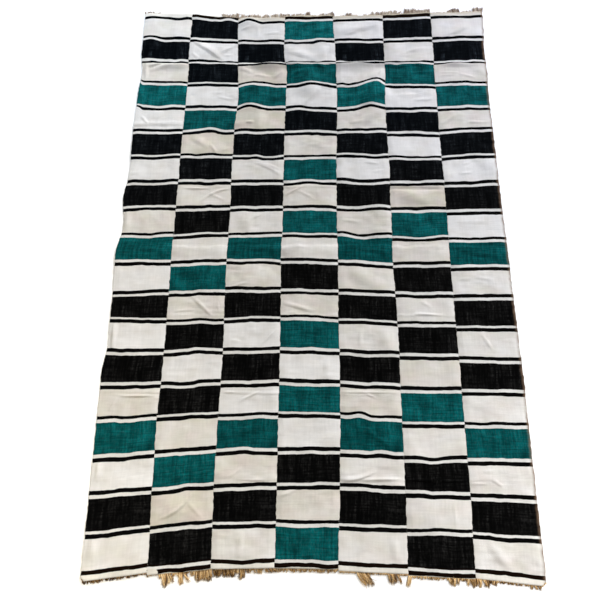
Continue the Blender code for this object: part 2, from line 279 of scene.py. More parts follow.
# Fine wrinkles, in millimetres, each from one place to another, from left to right or straight down.
# "back" is its reach on the lit side and "lee" on the side towards the foot end or the left. "bow"
# bends it towards the foot end at its middle. A negative rise is a trough.
Wrinkle = namedtuple("Wrinkle", "x down end_x end_down back lee rise bow", defaults=(0.0,))
WRINKLES = in_metres(
    Wrinkle,
    (105, 116, 272, 62, 40, 22, 6),
    (130, 122, 185, 108, 10, 8, 2.3),
    (535, 132, 640, 72, 32, 18, 5),
    (-115, 98, -60, 66, 14, 10, 2.9),
    (0, 108, 85, 80, 16, 12, 3.8),
    (-222, 60, -222, 135, 8, 20, 1.9),
    (-295, 95, -255, 78, 10, 8, 2.3),
    (-200, 115, -130, 108, 10, 8, 1.9),
    (-500, 140, -355, 243, 32, 7, 5.4),
    (-372, 208, -312, 166, 14, 9, 3.8),
    (-490, 205, -455, 238, 10, 8, 2.3),
    (-365, 218, -315, 215, 7, 6, 1.9),
    (-115, 196, 30, 240, 30, 20, 4),
    (60, 175, 35, 240, 18, 45, 4.4),
    (375, 207, 430, 188, 14, 9, 2.3),
    (-660, 292, -560, 262, 16, 14, 4.2),
    (-610, 268, -495, 266, 8, 30, 5.2),
    (-665, 270, -595, 256, 7, 6, 2.9),
    (-300, 275, -235, 300, 14, 14, 3.4),
    (-240, 264, -105, 264, 8, 36, 6.2),
    (-235, 312, -165, 322, 10, 10, 3.4),
    (-155, 330, -115, 290, 14, 10, 2.9),
    (-105, 325, -10, 282, 16, 12, 4.4),
    (0, 262, 60, 282, 10, 8, 3.8),
    (65, 262, 250, 262, 8, 46, 8.5),
    (225, 330, 290, 300, 35, 30, 4.5),
    (262, 315, 284, 285, 8, 8, 2.9),
    (300, 272, 400, 276, 8, 8, 3.4),
    (375, 305, 480, 300, 8, 8, 3.4),
    (530, 258, 630, 262, 9, 20, 4.6),
    (500, 301, 585, 302, 6, 6, 2.1),
    (505, 314, 575, 313, 6, 6, 1.7),
    (580, 308, 650, 328, 8, 7, 2.9),
    (-375, 412, -305, 428, 8, 6, 2.5),
    (-400, 396, -350, 392, 8, 7, 1.5),
    (-295, 392, -215, 366, 18, 14, 5.4),
    (-215, 405, -120, 420, 12, 20, 4.4),
    (-30, 452, 30, 375, 18, 14, 3.8),
    (105, 428, 235, 402, 20, 16, 4.7),
    (395, 434, 475, 425, 14, 8, 2.9),
    (310, 410, 420, 405, 14, 12, 1.5),
    (590, 375, 622, 412, 7, 6, 2.5),
    (615, 372, 685, 378, 6, 10, 3.4),
    (-668, 500, -640, 535, 8, 7, 3.4),
    (-210, 430, -214, 570, 45, 80, 8),
    (-258, 530, -226, 532, 9, 9, 2.8),
    (160, 552, 270, 470, 30, 30, 5.5),
    (140, 532, 200, 528, 12, 12, 1.8),
    (495, 545, 560, 492, 14, 10, 3),
    (600, 528, 680, 532, 10, 8, 2.9),
    (-470, 594, -390, 640, 26, 18, 3.6),
    (-392, 625, -362, 668, 10, 10, 2.6),
    (-345, 655, -315, 640, 7, 6, 1.9),
    (-30, 645, 30, 600, 24, 24, 1.4),
    (-225, 702, -108, 768, 18, 7, 2.4, -8),
    (-175, 708, -120, 735, 7, 6, 2.3),
    (195, 700, 255, 712, 8, 6, 2.5),
    (225, 745, 275, 735, 7, 7, 1.5),
    (550, 752, 600, 745, 9, 7, 2.3),
    (565, 715, 600, 700, 8, 6, 1.9),
    (-485, 812, -375, 813, 7, 6, 2.7),
    (-415, 868, -300, 812, 9, 7, 3.8, -12),
    (-385, 832, -320, 862, 8, 7, 2.3),
    (-108, 845, -35, 805, 9, 6, 2.7),
    (-55, 822, 10, 855, 8, 8, 1.9),
    (285, 815, 485, 817, 12, 9, -4.2),
    (330, 825, 440, 868, 26, 34, 2.2),
    (-240, 895, -238, 995, 30, 50, 4.2),
    (-225, 938, -180, 912, 8, 6, 1.9),
    (105, 940, 170, 948, 9, 8, 1.9),
    (-255, 1038, -130, 1036, 10, 6, -3),
    (510, 1040, 690, 1038, 9, 6, -2.7),
    (-285, 1198, -225, 1184, 6, 6, 3, -3),
    (140, 1138, 262, 1204, 34, 34, 2.6),
    (515, 1168, 560, 1162, 8, 8, 1.9),
    (575, 1158, 640, 1168, 8, 8, 1.9),
    (-425, 1230, -342, 1308, 12, 5, 2.8),
    (-482, 1287, -408, 1279, 6, 6, 2.5),
    (-330, 1258, -322, 1285, 6, 6, 1.5),
    (-105, 1254, 12, 1287, 14, 6, 3.6),
    (-85, 1290, -50, 1290, 6, 6, 1.5),
    (352, 1293, 448, 1296, 7, 6, 2.9),
    (375, 1245, 415, 1270, 9, 8, 1.7),
    (535, 1296, 630, 1296, 6, 6, 2.5),
    (-178, 1408, -120, 1345, 7, 7, 2.9),
    (-280, 1388, -245, 1390, 6, 6, 1.9),
    (255, 1340, 257, 1425, 34, 36, 3.6),
    (165, 1350, 165, 1410, 12, 10, 1.5),
    (575, 1355, 615, 1420, 8, 9, 2.3),
    (50, 1445, 52, 1515, 20, 18, 1.7),
    (-645, 1578, -515, 1577, 6, 6, 3.2),
    (-672, 1628, -648, 1582, 8, 6, 1.9),
    (-295, 1562, -255, 1563, 6, 6, 1.7),
    (-240, 1592, -175, 1560, 7, 6, 2.7),
    (90, 1560, 290, 1561, 6, 6, 3),
    (175, 1563, 215, 1580, 6, 6, 1.9),
    (-110, 1556, 90, 1556, 6, 6, 2.9),
    (-250, 1705, -165, 1668, 12, 10, 2.7),
    (165, 1675, 260, 1735, 14, 12, 3.4),
    (-262, 1832, -222, 1800, 9, 7, 1.9),
    (-235, 1838, -125, 1839, 6, 6, 1.9),
    (92, 1838, 208, 1808, 14, 6, 4.3, 7),
    (165, 1834, 285, 1832, 8, 6, 3.4),
    (295, 1834, 490, 1835, 7, 6, 3.4),
    (545, 1806, 580, 1805, 6, 6, 1.5),
    (500, 1843, 556, 1844, 6, 6, 1.9),
    (570, 1828, 605, 1852, 8, 8, 1.9),
    (-478, 1956, -372, 1868, 10, 6, 4.3, 16),
    (-395, 1900, -340, 1955, 9, 8, 1.9),
    (-108, 1888, -40, 1862, 8, 8, 2.9),
    (445, 1890, 447, 1970, 8, 8, 1.5),
    (-215, 1985, -222, 2065, 14, 18, 2.5),
    (252, 2000, 262, 2070, 20, 22, 2.9),
    (540, 2005, 605, 2095, 24, 22, 3.4),
    (-668, 255, -665, 335, 12, 14, 4.2),
    (-680, 880, -682, 985, 20, 14, 4.2),
    (-684, 1325, -684, 1425, 16, 10, 4.4),
    (-686, 1780, -685, 1850, 18, 12, 3.4),
    (-676, 1990, -676, 2080, 25, 20, 4.3),
)

# Slow unevenness of cloth laid by hand on a floor: its swells' width and height, in millimetres
Swell = namedtuple("Swell", "width rise")
SWELLS = in_metres(
    Swell,
    (310, 1.8),
    (120, 2.6),
    (55, 2.2),
    (26, 0.7),
)

# Fine slack puckers, longer across the strip than along it
PUCKER_LENGTH = 0.034
PUCKER_WIDTH = 0.011
PUCKER_RISE = 0.00045
PUCKERED_PATCH = 0.13

# How bluntly a fine wrinkle runs out at its ends: bluntly below 1
WRINKLE_ENDS = 0.8

# The cloth is drawn down along its seams and selvedges, and puckers there
SEAM_VALLEY_DEPTH = 0.0026
SEAM_VALLEY_REACH = 0.022
GATHER_HEIGHT = 0.0006
GATHER_PITCH = 0.017
GATHER_WIDTH = 0.026
GATHER_SLOPE = 0.3
SELVEDGE_ROUNDING = 0.003
SELVEDGE_THINNING = 0.0007
# Width of the painted shadow, tan with floor colour, along the right selvedge of the last strip
PAINTED_EDGE_SHADOW_WIDTH = 0.0120

# Least height of the cloth's underside over the floor plane, and how softly it settles there
RESTING_HEIGHT = 0.0002
SETTLING = 0.0008

# The weft wanders between the seams: the width and size of its waves, in millimetres
WEFT_WAVES = in_metres(
    Swell,
    (55, 2.8),
    (21, 1.4),
)

# Rounds that find the woven length at a place
LENGTH_ROUNDS = 4

# Seeds of the noises. Each crease, swell, wave and seam adds its own number to its seed.
JITTER_SEED = 25
UNEVEN_CREASE_SEED = 50
UNEVEN_GATHER_SEED = 75
SWELL_SEED = 100
SEAM_GATHER_SEED = 220
PUCKER_SEED = 240
PUCKERED_PATCH_SEED = 241
WEFT_SEED = 300
SEAM_SEED = 400

# The noise repeats after this many cells, and its place numbers start high enough to stay above zero
NOISE_CELLS = 64
NOISE_START = 1000.0

# Steps of the cloth's mesh. Both counts of points are odd, as the underside has every second one.
SELVEDGE_COLUMNS = (0.0, 0.006, 0.018)
COLUMNS_INSIDE = 51
INNER_START = 0.035
STEP_ALONG = 0.0041
STEP_AT_CREASE = 0.0022
CREASE_ZONE = 0.016
HEAD_FADE = 0.12
FOOT_FADE = 0.22

# Weave: warp ribs across the strip and weft picks along it
RIB_PITCH = 0.0024
PICK_PITCH = 0.0009

# Yarn colours, as linear red, green and blue, with painted cool light on the black and a painted shadow along
# the last selvedge
BLEACHED = (0.63, 0.62, 0.61)
ECRU_YELLOW = (0.500, 0.472, 0.385)
ECRU_ROSY = (0.525, 0.465, 0.415)
LINE_WHITE = (0.59, 0.58, 0.56)
BLACK_YARN = (0.0009, 0.0009, 0.0009)
# Painted cool light: the black yarn is painted bluer towards the head end
BLACK_IN_PAINTED_COOL_LIGHT = (0.0004, 0.0010, 0.0018)
END_BLACK = (0.0045, 0.0022, 0.0012)
GREEN_YARN = (0.0008, 0.058, 0.060)
WARP_GREY = (0.20, 0.24, 0.27)
BLACK_SHOW = (0.22, 0.215, 0.21)
# Painted cool light: the warp that shows through the black is painted bluer towards the head end
SHOW_IN_PAINTED_COOL_LIGHT = (0.17, 0.215, 0.26)
END_WHITE = (0.66, 0.64, 0.60)
END_TAN = (0.46, 0.41, 0.32)
# Painted shadow with floor colour: a thin tan line along the right selvedge of the last strip
PAINTED_EDGE_SHADOW = (0.16, 0.105, 0.07)
SEAM_THREAD = (0.45, 0.43, 0.39)

# Light, tan and brown threads of the frayed warp, and how much browner they are at their tips. The darkest
# brown threads partly stand for painted shade in the gaps between threads.
FringeTones = namedtuple("FringeTones", "light tan brown tip")
FRINGE_TONES = {
    "head": FringeTones((0.74, 0.68, 0.55), (0.56, 0.46, 0.36), (0.19, 0.13, 0.09), 0.30),
    "foot": FringeTones((0.85, 0.68, 0.42), (0.56, 0.34, 0.13), (0.07, 0.032, 0.012), 0.05),
}
FLOOR_COLOUR = (0.94, 0.94, 0.94)

# Uneven textures of the woven cloth: how many of their cells lie in a metre across and along the
# strip, and how far each strip lies from the last one in them
Texture = namedtuple("Texture", "name across along strip_step")
TEXTURES = (
    Texture("waver", 90.0, 60.0, 0.0),
    Texture("streak", 170.0, 13.0, 0.0),
    Texture("broad", 55.0, 8.0, 0.0),
    Texture("slub", 14.0, 240.0, 0.0),
    Texture("cloud", 22.0, 22.0, 0.0),
    Texture("hatch", 230.0, 110.0, 0.0),
    Texture("shadow_break", 35.0, 35.0, 0.0),
    Texture("hue", 16.0, 20.0, 9.0),
    Texture("tint", 12.0, 18.0, 5.0),
)

# Each row turns a value's range from low to high into a new one, and holds it past its ends
Spread = namedtuple("Spread", "value low high at_low at_high")
WEFT_WAVER = Spread("waver", 0.25, 0.75, -0.0005, 0.0005)
ROSY_SHARE = Spread("hue", 0.38, 0.62, 0.0, 1.0)
ECRU_VARIATION = Spread("tint", 0.3, 0.7, -0.22, 0.22)
END_FRAYING = Spread("wavy", -0.016, -0.004, 1.0, 0.5)
UNDYED_SHADE = (
    Spread("streak", 0.3, 0.7, 0.96, 1.025),
    Spread("slub", 0.3, 0.7, 0.965, 1.025),
    Spread("cloud", 0.3, 0.7, 0.955, 1.035),
    Spread("rib", 0.0, 0.6, 0.94, 1.0),
)
GREEN_SHADE = (
    Spread("streak", 0.3, 0.7, 0.69, 1.31),
    Spread("slub", 0.3, 0.7, 0.62, 1.38),
    Spread("broad", 0.3, 0.7, 0.84, 1.16),
    # Partly painted shade: the cloud's blotches darken and lighten the green as its soft folds would
    Spread("cloud", 0.3, 0.7, 0.66, 1.33),
    Spread("hue", 0.36, 0.64, 0.89, 1.11),
    Spread("lightness", -1.0, 2.0, 0.76, 1.48),
)

# The undyed warp shows through the dyed weft where the weft is thin, and in worn streaks
WARP_IN_GREEN = Spread("hatch", 0.45, 0.75, 0.0, 0.045)
THIN_WEFT = (
    Spread("slub", 0.42, 0.72, 0.0, 2.1),
    Spread("hatch", 0.45, 0.75, 0.05, 1.6),
)
WARP_IN_BLACK = (
    Spread("streak", 0.40, 0.72, 0.12, 1.3),
    Spread("broad", 0.32, 0.68, 0.001, 0.038),
    Spread("cloud", 0.32, 0.68, 0.6, 1.4),
    Spread("line", 0.0, 1.0, 1.0, 0.3),
)
# Painted cool light: the black is painted bluish up to the first woven length and neutral past the second
PAINTED_COOL_LIGHT_FADING = Spread("along", 0.40, 0.95, 0.0, 1.0)
# The painted edge shadow is stronger and weaker in patches along the selvedge
PAINTED_EDGE_SHADOW_BREAKS = Spread("shadow_break", 0.35, 0.65, 0.4, 1.0)
BARE_FROM = 0.4

# Fine relief of the cloth: its height, and the shares of ribs, picks and slubs in it
WEAVE_RELIEF = 0.00035
RELIEF_SHARES = (
    Spread("rib", 0.0, 1.0, 0.0, 0.7),
    Spread("bead", -1.0, 1.0, -0.25, 0.25),
    Spread("slub", 0.0, 1.0, 0.0, 0.8),
)

# Fibres of the fringe and of the seams: cells in a metre, tones and relief
FIBRE_CELLS = 900.0
SEAM_FIBRE_CELLS = 700.0
CREAM_TO_TAN = Spread("tone", 0.0, 0.55, 0.0, 1.0)
TAN_TO_BROWN = Spread("tone", 0.55, 1.0, 0.0, 1.0)
FIBRE_SHADE = Spread("fibre", 0.3, 0.7, 0.85, 1.1)
SEAM_FIBRE_SHADE = Spread("fibre", 0.3, 0.7, 0.8, 1.1)
FIBRE_RELIEF = 0.0002

# How rough each surface is, and how strongly it reflects
WOVEN_SURFACE = (1.0, 0.02)
THREAD_SURFACE = (0.85, 0.15)
FLOOR_SURFACE = (0.9, 0.0)


# Shared shape functions


def bump(distance):
    """A soft profile: 1 at the crest, 0 at a distance of 1 and beyond."""
    return 0.5 + 0.5 * np.cos(np.pi * np.minimum(np.abs(distance), 1.0))


def softened(share):
    """A share from 0 to 1 that sets off and arrives slowly."""
    return share * share * (3 - 2 * share)


def soft_noise(x, y, cell, seed):
    """Smooth noise between -1 and 1, with one random value to each cell of the plan."""
    lattice = np.random.default_rng(seed).uniform(-1.0, 1.0, (NOISE_CELLS, NOISE_CELLS))
    across, along = np.asarray(x) / cell + NOISE_START, np.asarray(y) / cell + NOISE_START
    column, row = np.floor(across).astype(int), np.floor(along).astype(int)
    a, b = softened(across - column), softened(along - row)
    left, right = column % NOISE_CELLS, (column + 1) % NOISE_CELLS
    here, beyond = row % NOISE_CELLS, (row + 1) % NOISE_CELLS
    near = lattice[here, left] * (1 - a) + lattice[here, right] * a
    far = lattice[beyond, left] * (1 - a) + lattice[beyond, right] * a
    return near * (1 - b) + far * b


def line_noise(place, cell, seed):
    """Smooth noise along a line."""
    return soft_noise(place, place * 0.0, cell, seed)


def eased(x, places, values):
    """Values read between places along a line, with no kinks."""
    places = np.asarray(places)
    number = np.clip(np.searchsorted(places, x, side="right") - 1, 0, len(places) - 2)
    share = np.clip((x - places[number]) / (places[number + 1] - places[number]), 0.0, 1.0)
    values = np.asarray(values)
    return values[number] + (values[number + 1] - values[number]) * softened(share)


def seam_x(seam, down):
    """Where a seam lies across the blanket, at places along the warp."""
    line = SEAMS[seam]
    jitter = SEAM_JITTER * line_noise(down, SEAM_JITTER_PITCH, SEAM_SEED + seam)
    swing = eased(down, [swing.down for swing in SWINGS], [swing.shifts[seam] * MM for swing in SWINGS])
    return line.head_x + (line.foot_x - line.head_x) * down / LAST_ROW_DOWN + swing + jitter


def row_drift(strip, share, woven):
    """Drift of the rows at shares of the strip's width and woven lengths from the first row."""
    rows = [drift.row * ROW_PITCH for drift in DRIFTS]
    left = np.interp(woven, rows, [drift[strip][0] * MM for drift in DRIFTS])
    right = np.interp(woven, rows, [drift[strip][1] * MM for drift in DRIFTS])
    return left + (right - left) * share


def swollen(oval, x, down):
    """Values of a soft oval on the plan: its size at its middle, 0 at its reach."""
    return oval.size * bump(np.hypot((x - oval.x) / oval.reach_x, (down - oval.down) / oval.reach_down))


def crest(crease, x, seed):
    """Where a crease lies, as it wanders a little across the blanket."""
    wander = CREASE_WANDER * line_noise(x, CREASE_WANDER_PITCH, seed)
    return crease.down + wander + CREASE_JITTER * line_noise(x, CREASE_JITTER_PITCH, seed + JITTER_SEED)


def gathered(x, down):
    """Cloth taken up by the ridges, which narrows the woven lines that lie on them."""
    taken = 0.0
    for seed, crease in enumerate(CREASES):
        if crease.gather > 0.0:
            turn = (down - crest(crease, x, seed)) / GATHER_REACH
            uneven = GATHER_UNEVENNESS * line_noise(x, GATHER_UNEVEN_PITCH, seed + UNEVEN_GATHER_SEED)
            taken = taken + crease.gather * (1.0 + uneven) * turn * np.exp(0.5 - 0.5 * turn * turn)
    return taken


def woven_length(strip, share, x, down):
    """Length of cloth from the first row's edge to places on the plan."""
    waves = 0.0
    for number, wave in enumerate(WEFT_WAVES):
        waves = waves + wave.rise * soft_noise(x, down, wave.width, WEFT_SEED + number)
    pulled = sum(swollen(pull, x, down) for pull in PULLS)
    moved = waves * np.sin(np.pi * share) + pulled - gathered(x, down)
    woven = down - FIRST_ROW_DOWN
    for _ in range(LENGTH_ROUNDS):
        woven = down - FIRST_ROW_DOWN - row_drift(strip, share, woven) - moved
    return woven


def strip_width(strip):
    """Width of a strip at the head end."""
    return SEAMS[strip].head_x - SEAMS[strip - 1].head_x


def end_down(strip, end, share):
    """Place of a strip's woven end, at shares of the way across the strip."""
    if end == "head":
        return FIRST_ROW_DOWN + row_drift(strip, share, 0.0) - END_BANDS[end][strip - 1]
    outer = share if strip == 1 else 1.0 - share if strip == STRIP_COUNT else 1.0
    band = END_BANDS[end][strip - 1] - CORNER_TUCK * bump(outer / CORNER_REACH)
    return LAST_ROW_DOWN + row_drift(strip, share, WOVEN_ROWS) + band


def ridge(aside, back, lee):
    """A soft ridge with its own reach on each side: aside is positive on the lit side."""
    return bump(aside / np.where(aside < 0.0, lee, back))


def crease_rise(crease, x, down, seed):
    """Height of one storage crease, which is uneven along its length."""
    share = np.clip((x - crease.left_x) / (crease.right_x - crease.left_x), 0.0, 1.0)
    uneven = CREASE_UNEVENNESS * line_noise(x, CREASE_UNEVEN_PITCH, seed + UNEVEN_CREASE_SEED)
    rise = crease.rise * (CREASE_FULLNESS + uneven) * np.sin(np.pi * share)
    return rise * ridge(crest(crease, x, seed) - down, crease.back, crease.lee)


def wrinkle_rise(wrinkle, x, down):
    """Height of one fine wrinkle, highest at its middle and running out at both ends."""
    run_x, run_down = wrinkle.end_x - wrinkle.x, wrinkle.end_down - wrinkle.down
    length = math.hypot(run_x, run_down)
    along = ((x - wrinkle.x) * run_x + (down - wrinkle.down) * run_down) / length**2
    along = np.clip(along, 0.0, 1.0)
    aside = ((x - wrinkle.x) * run_down - (down - wrinkle.down) * run_x) / length
    aside = aside + 4 * wrinkle.bow * along * (1.0 - along)
    return wrinkle.rise * np.sin(np.pi * along) ** WRINKLE_ENDS * ridge(aside, wrinkle.back, wrinkle.lee)


def seam_settling(edge, x, down):
    """Height of the cloth beside a seam: drawn down at it, with small gathers across it."""
    valley = SEAM_VALLEY_DEPTH * (1.0 - bump(edge / SEAM_VALLEY_REACH))
    gathers = soft_noise(edge * GATHER_SLOPE, down + x, GATHER_PITCH, SEAM_GATHER_SEED)
    return valley + GATHER_HEIGHT * (1.0 + gathers) * bump(edge / GATHER_WIDTH)


def settled(height):
    """Cloth can't go below the floor, so it settles on it softly."""
    return (height + np.sqrt(height**2 + SETTLING**2)) / 2


def wrinkled(x, down):
    """Height of all the fine wrinkles."""
    height = np.zeros(x.shape)
    for wrinkle in WRINKLES:
        reach = max(wrinkle.back, wrinkle.lee) + abs(wrinkle.bow)
        left, right = min(wrinkle.x, wrinkle.end_x) - reach, max(wrinkle.x, wrinkle.end_x) + reach
        head, foot = min(wrinkle.down, wrinkle.end_down) - reach, max(wrinkle.down, wrinkle.end_down) + reach
        near = (x > left) & (x < right) & (down > head) & (down < foot)
        height[near] += wrinkle_rise(wrinkle, x[near], down[near])
    return height


def cloth_height(edge, x, down):
    """Height of the underside of the cloth above the floor, at distances from the nearest seam."""
    squares = 0.0
    for seed, crease in enumerate(CREASES):
        squares = squares + crease_rise(crease, x, down, seed) ** 2
    for hump in HUMPS:
        squares = squares + swollen(hump, x, down) ** 2
    height = np.sqrt(squares) + seam_settling(edge, x, down)
    for seed, swell in enumerate(SWELLS):
        height = height + swell.rise * soft_noise(x, down, swell.width, seed + SWELL_SEED)
    puckers = soft_noise(x * PUCKER_WIDTH / PUCKER_LENGTH, down, PUCKER_WIDTH, PUCKER_SEED)
    patches = 1.0 + soft_noise(x, down, PUCKERED_PATCH, PUCKERED_PATCH_SEED)
    fine = wrinkled(x, down) + PUCKER_RISE * patches * puckers
    return RESTING_HEIGHT + settled(settled(height) + fine)


# Meshes


def make_mesh(name, points, faces):
    """A smooth-shaded mesh of points and faces."""
    mesh = bpy.data.meshes.new(name)
    mesh.from_pydata(points.tolist(), [], faces)
    mesh.shade_smooth()
    return mesh


def thread_mesh(name, threads):
    """One mesh of many threads, each a path and its radius."""
    points, faces, first = [], [], 0
    for path, radius in threads:
        ring, sides = thread_tube(path, radius, first)
        points.append(ring)
        faces += sides
        first += len(ring)
    return make_mesh(name, np.concatenate(points), faces)


def put_in_scene(name, data, place=(0.0, 0.0, 0.0)):
    """A new object at a place in the scene."""
    thing = bpy.data.objects.new(name, data)
    thing.location = place
    bpy.context.scene.collection.objects.link(thing)
    return thing


def add_piece(mesh, material, nodes):
    """Put a piece in the scene that stands for nodes of the frame. It has its mesh's name."""
    piece = put_in_scene(mesh.name, mesh)
    mesh.materials.append(material)
    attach(piece, "root")
    if nodes:
        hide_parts(*nodes)
    return piece


def point_values(mesh, name, values):
    """Keep one number for each point of a mesh, which its material reads by name."""
    layer = mesh.attributes.new(name, "FLOAT", "POINT")
    layer.data.foreach_set("value", np.asarray(values, np.float32))


def strip_stations():
    """Places of the mesh's rows along the warp, close together at the creases."""
    head, foot = FIRST_ROW_DOWN - DARK_END_BAND, LAST_ROW_DOWN + DARK_END_BAND
    places = [head]
    while places[-1] < foot or len(places) % 2 == 0:
        at_crease = any(abs(places[-1] - crease.down) < CREASE_ZONE for crease in CREASES)
        places.append(places[-1] + (STEP_AT_CREASE if at_crease else STEP_ALONG))
    places = np.array(places)
    return head + (places - head) * (foot - head) / (places[-1] - head)


def strip_shares():
    """Places of the mesh's columns, as shares of the strip's width, close together at its selvedges."""
    inside = np.linspace(INNER_START, 1.0 - INNER_START, COLUMNS_INSIDE)
    edge = np.array(SELVEDGE_COLUMNS)
    return np.concatenate((edge, inside, 1.0 - edge[::-1]))


def grid_faces(numbers):
    """Faces between the points of a grid, given the points' numbers."""
    corners = (numbers[:-1, :-1], numbers[:-1, 1:], numbers[1:, 1:], numbers[1:, :-1])
    return np.stack(corners, axis=-1).reshape(-1, 4).tolist()


def border(numbers):
    """The numbers of a grid's outer points, in order round it."""
    return np.concatenate((numbers[0, :], numbers[1:, -1], numbers[-1, -2::-1], numbers[-2:0:-1, 0])).tolist()


def rim_faces(top, under):
    """Faces that join the border of the upper face to that of the underside, which has half its points."""
    top, under = border(top), border(under)
    top.append(top[0])
    under.append(under[0])
    faces = []
    for number in range(len(under) - 1):
        upper = top[2 * number : 2 * number + 3]
        faces.append((under[number], *upper, under[number + 1]))
    return faces


def by_row(woven, values):
    """The value of the row at each woven length: one for each row, and one for each end past the rows."""
    nearest = np.clip(np.floor(woven / ROW_PITCH) + 1, 0, ROW_COUNT + 1).astype(int)
    return np.array(values)[nearest]


def row_ecru(strip):
    """Share of ecru in the undyed yarn of each row, and of tan past the rows at each end."""
    shares, last = [HEAD_END_TAN[strip - 1]], 0.0
    for letter in CHARTS[strip]:
        last = ECRU_SHARE.get(letter, last)
        shares.append(last)
    return shares + [FOOT_END_TAN[strip - 1]]


def row_lightness(strip):
    """How light the green yarn of each row is. The outermost rows' values hold past them."""
    shares = [GREEN_SHARE.get(letter, 0.0) for letter in CHARTS[strip]]
    return [shares[0]] + shares + [shares[-1]]


def strip_mesh(strip):
    """One woven strip: both faces of the sheet and its rim, with the woven coordinates kept in a UV map."""
    stations, shares = strip_stations(), strip_shares()
    share, station = np.meshgrid(shares, stations)
    head_shift = end_down(strip, "head", share) - stations[0]
    foot_shift = end_down(strip, "foot", share) - stations[-1]
    down = station + head_shift * bump(np.minimum((station - stations[0]) / HEAD_FADE, 1.0))
    down = down + foot_shift * bump(np.minimum((stations[-1] - station) / FOOT_FADE, 1.0))
    left, right = seam_x(strip - 1, down), seam_x(strip, down)
    x = left + (right - left) * share
    edge = np.minimum(share, 1.0 - share) * (right - left)
    height = cloth_height(edge, x, down)
    top = height + CLOTH_THICKNESS - SELVEDGE_THINNING * bump(edge / SELVEDGE_ROUNDING)

    # The underside has every second point of the upper face each way
    y = HEAD_DATUM_Y - down
    over = np.stack([x, y, top], axis=-1)
    under = np.stack([x, y, height], axis=-1)[::2, ::2]
    top_numbers = np.arange(share.size).reshape(share.shape)
    under_numbers = share.size + np.arange(under.shape[0] * under.shape[1]).reshape(under.shape[:2])
    faces = grid_faces(top_numbers[::-1])
    faces += grid_faces(under_numbers)
    faces += rim_faces(top_numbers, under_numbers)
    points = np.concatenate([over.reshape(-1, 3), under.reshape(-1, 3)])
    mesh = make_mesh(f"woven_strip_{strip}", points, faces)

    woven = woven_length(strip, share, x, down)
    weave = np.stack([share * (right - left), woven], axis=-1)
    weave = np.concatenate([weave.reshape(-1, 2), weave[::2, ::2].reshape(-1, 2)])
    corners = np.empty(len(mesh.loops), int)
    mesh.loops.foreach_get("vertex_index", corners)
    layer = mesh.uv_layers.new(name="Weave")
    layer.uv.foreach_set("vector", weave[corners].astype(np.float32).ravel())
    # Where the painted edge shadow lies: only along the right selvedge of the last strip
    outer = (1.0 - share if strip == STRIP_COUNT else 1.0) * (right - left)
    named = {
        "ecru": by_row(woven, row_ecru(strip)),
        "lightness": by_row(woven, row_lightness(strip)),
        "selvedge": bump(outer / PAINTED_EDGE_SHADOW_WIDTH),
        "bare": swollen(BARE_SPOT, x, down),
    }
    for name, values in named.items():
        point_values(mesh, name, np.concatenate([values.ravel(), values[::2, ::2].ravel()]))
    return mesh


def thread_tube(path, radius, first):
    """Points and faces of one thread: a closed tube along a path, tapered at its tip."""
    sides = THREAD_SIDES
    path = np.asarray(path)
    run = np.gradient(path, axis=0)
    run /= np.linalg.norm(run, axis=1)[:, None] + SMALLEST
    side = np.cross(run, (0.0, 0.0, 1.0))
    side /= np.linalg.norm(side, axis=1)[:, None] + SMALLEST
    up = np.cross(side, run)
    turns = np.linspace(0.0, 2 * np.pi, sides, endpoint=False)
    radii = np.full(len(path), radius)
    radii[-1] = radius * TIP_RADIUS
    ring = side[:, None, :] * np.cos(turns)[None, :, None] + up[:, None, :] * np.sin(turns)[None, :, None]
    points = (path[:, None, :] + ring * radii[:, None, None]).reshape(-1, 3)
    faces = [tuple(first + number for number in range(sides))]
    for step in range(len(path) - 1):
        here = first + step * sides
        for number in range(sides):
            after = (number + 1) % sides
            faces.append((here + after, here + number, here + sides + number, here + sides + after))
    last = first + (len(path) - 1) * sides
    faces.append(tuple(last + number for number in reversed(range(sides))))
    return points, faces


# Materials


